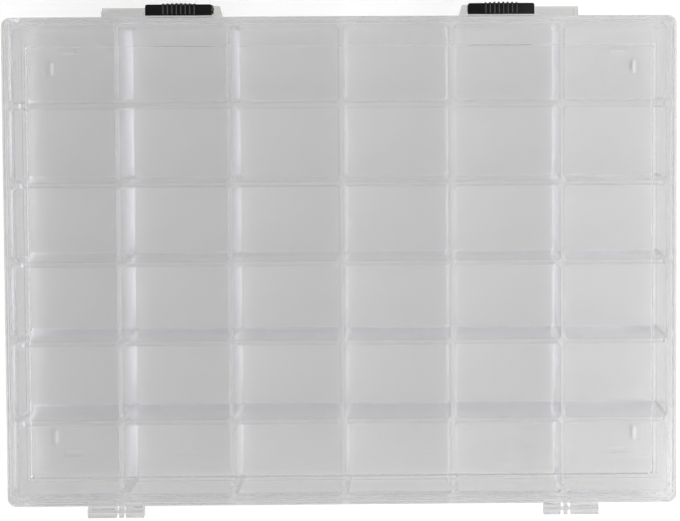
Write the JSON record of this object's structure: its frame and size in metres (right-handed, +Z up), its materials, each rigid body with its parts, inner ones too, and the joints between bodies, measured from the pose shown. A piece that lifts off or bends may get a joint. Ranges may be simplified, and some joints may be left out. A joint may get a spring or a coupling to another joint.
{
  "type": "embroidery thread box",
  "caption": "Shallow clear plastic box with a moulded grid of rectangular compartments, a lid on rear pin hinges and slide latches along the front.",
  "frame": {"origin": "centre of the case at the level its feet stand on", "axes": "+Z up through the lid, -Y towards the front with the latches, +Y towards the hinges, +X along the long side"},
  "size_m": [0.362, 0.2812, 0.045],
  "materials": {
    "clear_polystyrene": "clear moulded, glossy",
    "black_plastic": "moulded, semi-gloss"
  },
  "bodies": {
    "tray": {"tray": "clear_polystyrene", "hinge_pin_left": "clear_polystyrene", "hinge_pin_right": "clear_polystyrene"},
    "lid": {"lid": "clear_polystyrene"},
    "latch_left": {"latch_left": "black_plastic"},
    "latch_right": {"latch_right": "black_plastic"}
  },
  "joints": [
    {"name": "lid_hinge", "type": "hinge", "parent": "tray", "child": "lid", "pos_m": [0, 0.138, 0.034], "axis": [-1, 0, 0], "range_deg": [0, 180]},
    {"name": "latch_right_slide", "type": "slide", "parent": "tray", "child": "latch_right", "axis": [1, 0, 0], "range_m": [0, 0.0215]},
    {"name": "latch_left_slide", "type": "slide", "parent": "tray", "child": "latch_left", "axis": [-1, 0, 0], "range_m": [0, 0.0215]}
  ]
}
